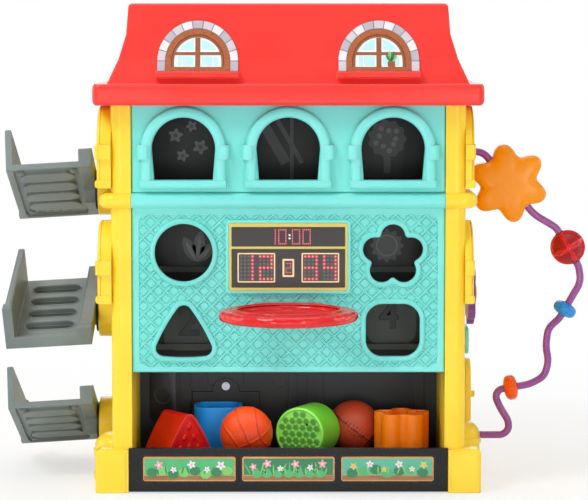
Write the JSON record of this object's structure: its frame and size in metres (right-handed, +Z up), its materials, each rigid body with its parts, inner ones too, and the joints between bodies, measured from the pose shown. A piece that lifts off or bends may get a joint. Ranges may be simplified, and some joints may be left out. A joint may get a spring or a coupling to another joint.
{
  "type": "activity house",
  "caption": "Toy activity house with ball windows, shape holes, hoop, see-saw ramps, a bead wire and a bay of blocks and balls.",
  "frame": {"origin": "middle of the house body's base, on the floor", "axes": "+X to the right of someone facing the front, +Y to the back, +Z up"},
  "size_m": [0.5121, 0.3612, 0.417],
  "materials": {
    "roof_red": "smooth moulded plastic",
    "yellow": "smooth moulded plastic",
    "teal": "satin moulded plastic",
    "black": "fine grained moulded plastic",
    "grey": "satin moulded plastic",
    "label_print": "printed label",
    "window_print": "printed label",
    "board_print": "printed panel",
    "hoop_red": "smooth moulded plastic",
    "purple": "smooth sleeve over wire",
    "star_orange": "smooth moulded plastic",
    "bead_red": "smooth moulded plastic",
    "bead_blue": "smooth moulded plastic",
    "bead_orange": "smooth moulded plastic",
    "block_red": "smooth moulded plastic",
    "block_blue": "smooth moulded plastic",
    "block_green": "smooth moulded plastic",
    "block_orange": "smooth moulded plastic",
    "ball_orange": "pebbled moulded plastic",
    "ball_brown": "pebbled moulded plastic",
    "steel": "plated steel",
    "circuit_green": "lacquered board",
    "cell_wrap": "plain steel can",
    "pad_rubber": "soft rubber"
  },
  "bodies": {
    "house": {"attic_window_left": "window_print", "attic_window_right": "window_print", "back_wall": "yellow", "ball_deck": "black", "base_tray": "black", "battery_cells": "cell_wrap", "battery_contacts": "steel", "battery_door": "black", "battery_door_screw": "steel", "bead_wire": "purple", "case_screws": "steel", "chute_panel": "black", "circuit_board": "circuit_green", "display_cover": "black", "display_module": "black", "door_pin": "steel", "hoop": "hoop_red", "inner_housing": "black", "left_side_wall": "yellow", "lower_front_panel": "teal", "planter_label_left": "label_print", "planter_label_middle": "label_print", "planter_label_right": "label_print", "right_side_wall": "yellow", "roof_shell": "roof_red", "rubber_pads": "pad_rubber", "scoreboard_plate": "board_print", "side_plate": "teal", "speaker": "black", "spinner_pin": "yellow", "switch_body": "black", "upper_front_panel": "teal", "window_backing": "black"},
    "see_saw_top": {"ramp_top": "grey", "ramp_hub_top": "black", "ramp_screw_top": "steel"},
    "see_saw_middle": {"ramp_middle": "grey", "ramp_hub_middle": "black", "ramp_screw_middle": "steel"},
    "see_saw_bottom": {"ramp_bottom": "grey", "ramp_hub_bottom": "black", "ramp_screw_bottom": "steel"},
    "star_bead_body": {"star_bead": "star_orange"},
    "red_bead_body": {"red_bead": "bead_red"},
    "blue_bead_body": {"blue_bead": "bead_blue"},
    "orange_bead_body": {"orange_bead": "bead_orange"},
    "spinner_body": {"spinner": "purple"},
    "garden_door_body": {"garden_door": "yellow"},
    "power_switch_body": {"power_switch": "black"},
    "triangle_block_body": {"triangle_block": "block_red"},
    "square_block_body": {"square_block": "block_blue"},
    "flower_block_body": {"flower_block": "block_orange"},
    "round_block_body": {"round_block": "block_green"},
    "orange_ball_body": {"orange_ball": "ball_orange"},
    "brown_ball_body": {"brown_ball": "ball_brown"}
  },
  "joints": [
    {"name": "ramp_top_tilt", "type": "hinge", "parent": "house", "child": "see_saw_top", "pos_m": [-0.17, 0, 0.252], "axis": [1, 0, 0], "range_deg": [0, 44]},
    {"name": "ramp_middle_tilt", "type": "hinge", "parent": "house", "child": "see_saw_middle", "pos_m": [-0.17, 0, 0.143], "axis": [1, 0, 0], "range_deg": [-36, 0]},
    {"name": "ramp_bottom_tilt", "type": "hinge", "parent": "house", "child": "see_saw_bottom", "pos_m": [-0.17, 0, 0.044], "axis": [1, 0, 0], "range_deg": [0, 44]},
    {"name": "star_bead_spin", "type": "hinge", "parent": "house", "child": "star_bead_body", "pos_m": [0.1952, -0.015, 0.2591], "axis": [0.6334, 0, -0.7738], "continuous": true},
    {"name": "red_bead_spin", "type": "hinge", "parent": "house", "child": "red_bead_body", "pos_m": [0.2483, -0.015, 0.202], "axis": [0.5045, 0, -0.8634], "continuous": true},
    {"name": "blue_bead_spin", "type": "hinge", "parent": "house", "child": "blue_bead_body", "pos_m": [0.2462, -0.015, 0.1467], "axis": [-0.5, 0, -0.866], "continuous": true},
    {"name": "orange_bead_spin", "type": "hinge", "parent": "house", "child": "orange_bead_body", "pos_m": [0.1984, -0.015, 0.0764], "axis": [-0.9851, 0, -0.1719], "continuous": true},
    {"name": "spinner_spin", "type": "hinge", "parent": "house", "child": "spinner_body", "pos_m": [0.165, 0.031, 0.157], "axis": [1, 0, 0], "continuous": true},
    {"name": "garden_door_swing", "type": "hinge", "parent": "house", "child": "garden_door_body", "pos_m": [0.1634, 0.0592, 0.055], "axis": [0, 0, 1], "range_deg": [0, 100]},
    {"name": "power_switch_slide", "type": "slide", "parent": "house", "child": "power_switch_body", "axis": [0, 0, 1], "range_m": [0, 0.007]},
    {"name": "triangle_block_lift", "type": "slide", "parent": "house", "child": "triangle_block_body", "axis": [0, -0.682, 0.7314], "range_m": [0, 0.05]},
    {"name": "orange_ball_lift", "type": "slide", "parent": "house", "child": "orange_ball_body", "axis": [0, -0.8616, 0.5075], "range_m": [0, 0.09]},
    {"name": "round_block_lift", "type": "slide", "parent": "house", "child": "round_block_body", "axis": [0, -0.8191, 0.5736], "range_m": [0, 0.06]},
    {"name": "flower_block_lift", "type": "slide", "parent": "house", "child": "flower_block_body", "axis": [0, -0.8191, 0.5736], "range_m": [0, 0.07]},
    {"name": "square_block_lift", "type": "slide", "parent": "house", "child": "square_block_body", "axis": [0, 0, 1], "range_m": [0, 0.038]},
    {"name": "brown_ball_lift", "type": "slide", "parent": "house", "child": "brown_ball_body", "axis": [0, 0, 1], "range_m": [0, 0.034]}
  ]
}
